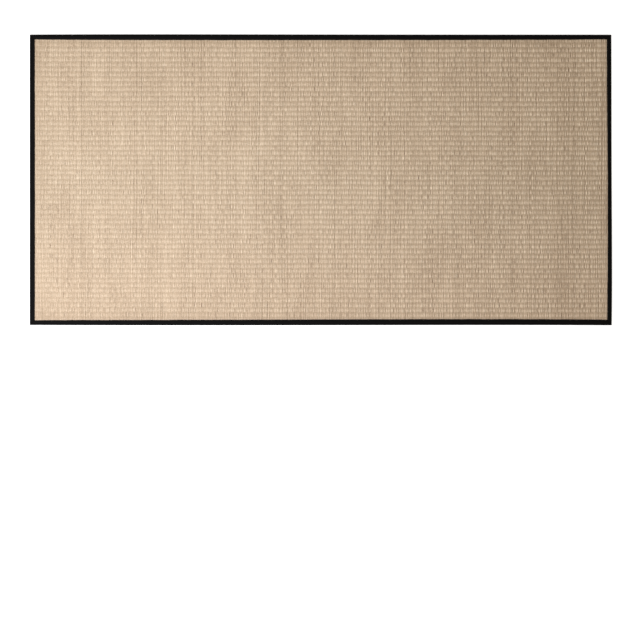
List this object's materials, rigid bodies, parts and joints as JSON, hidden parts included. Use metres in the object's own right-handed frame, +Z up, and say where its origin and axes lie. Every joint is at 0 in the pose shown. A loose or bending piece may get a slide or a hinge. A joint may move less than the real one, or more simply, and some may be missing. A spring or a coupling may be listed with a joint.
{
  "type": "tatami mat",
  "caption": "Flat floor mat of woven rush with ribbed rows along its length and folded black binding tape with mitred corners.",
  "frame": {"origin": "on the floor under the middle of the mat", "axes": "+X along the mat's length and its rows, +Y across its width, +Z up through its thickness"},
  "size_m": [1.8, 0.8999, 0.015],
  "materials": {
    "woven_rush": "dry woven rush, pale straw, with a faint satin sheen",
    "black_tape": "close-woven black cotton tape, matt with a slight sheen"
  },
  "bodies": {
    "root": {"rush_mat": "woven_rush", "binding_front": "black_tape", "binding_right": "black_tape", "binding_back": "black_tape", "binding_left": "black_tape"}
  },
  "joints": []
}
